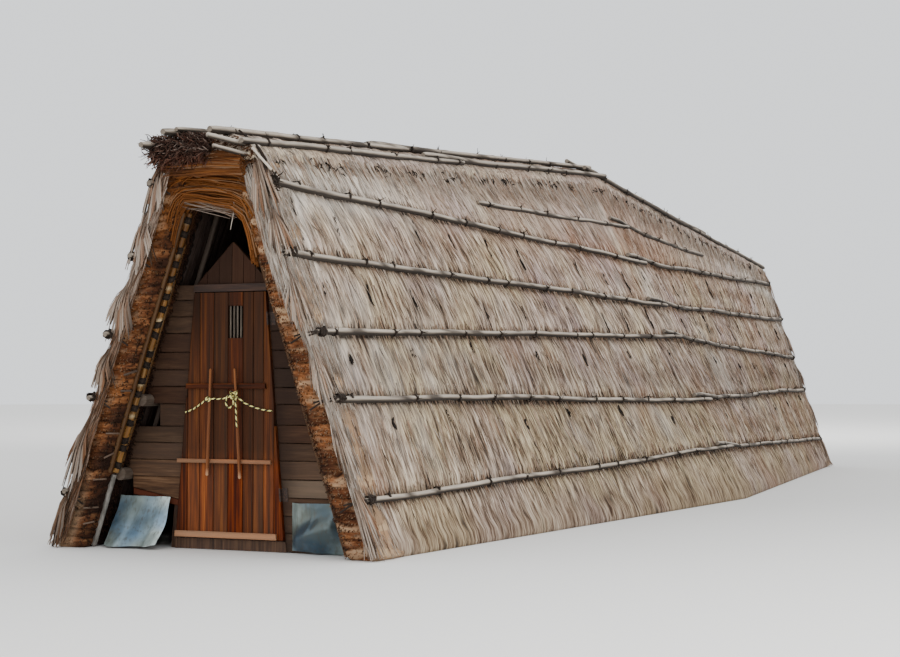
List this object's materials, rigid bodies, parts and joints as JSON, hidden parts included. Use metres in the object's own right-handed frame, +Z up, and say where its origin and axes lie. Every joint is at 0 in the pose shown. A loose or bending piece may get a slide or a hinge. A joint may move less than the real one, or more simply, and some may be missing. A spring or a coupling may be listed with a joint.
{
  "type": "thatched hut",
  "caption": "A-frame hut with thatch to the ground, bowed ridge and flanks, lashed poles, a plank gable and a hinged plank door under a deep straw verge.",
  "frame": {"origin": "centre of the hut's footprint on the ground, below the ridge at mid-length", "axes": "+Z up; the ridge runs along Y and the entrance gable faces -Y; +X is the right flank seen from the entrance"},
  "size_m": [4.6, 17.66, 4.1388],
  "materials": {
    "thatch": "weathered grey-beige straw thatch, combed down the slope",
    "straw_ends": "cut ends of packed straw, reddish brown",
    "pole": "weathered bare poles with knots",
    "log": "smoke-darkened round logs",
    "plank": "sawn boards, grey-brown and weathered",
    "door_wood": "stained red-brown boards",
    "bamboo": "aged bamboo cane with nodes",
    "zinc": "dull blue-grey galvanised sheet",
    "rope": "twisted two-colour rope, yellow and black",
    "iron": "dark forged iron"
  },
  "bodies": {
    "hut": {"bamboo_rafter_left": "bamboo", "bamboo_rafter_right": "bamboo", "base_sheet_left": "zinc", "base_sheet_right": "zinc", "crown_front": "straw_ends", "crown_rear": "straw_ends", "door_hinge_high": "iron", "door_hinge_low": "iron", "door_lintel": "door_wood", "door_post_left": "plank", "door_post_right": "plank", "gable_wall_left": "plank", "gable_wall_rear": "plank", "gable_wall_right": "plank", "leaning_pipe": "zinc", "peak_boards": "plank", "pole_left_foot": "pole", "pole_left_high": "pole", "pole_left_low": "pole", "pole_left_middle": "pole", "pole_left_short": "pole", "pole_left_upper": "pole", "pole_right_foot": "pole", "pole_right_high": "pole", "pole_right_low": "pole", "pole_right_middle": "pole", "pole_right_short": "pole", "pole_right_upper": "pole", "purlin_left_high": "log", "purlin_left_low": "log", "purlin_right_high": "log", "purlin_right_low": "log", "ridge_beam": "log", "ridge_cap": "thatch", "ridge_pole_left_crown": "pole", "ridge_pole_left_shoulder": "pole", "ridge_pole_right_crown": "pole", "ridge_pole_right_shoulder": "pole", "thatch_left_front": "thatch", "thatch_left_rear": "thatch", "thatch_right_front": "thatch", "thatch_right_rear": "thatch", "threshold_board": "plank", "verge_left_front": "straw_ends", "verge_right_front": "straw_ends"},
    "door": {"door_leaf": "door_wood", "door_rod_left": "pole", "door_rod_right": "pole", "door_rope": "rope", "door_rope_tail": "rope"}
  },
  "joints": [
    {"name": "door_swing", "type": "hinge", "parent": "hut", "child": "door", "pos_m": [0.528, -8.10795, 0.1], "axis": [-0.0846, 0, 0.9964], "range_deg": [0, 95]}
  ]
}
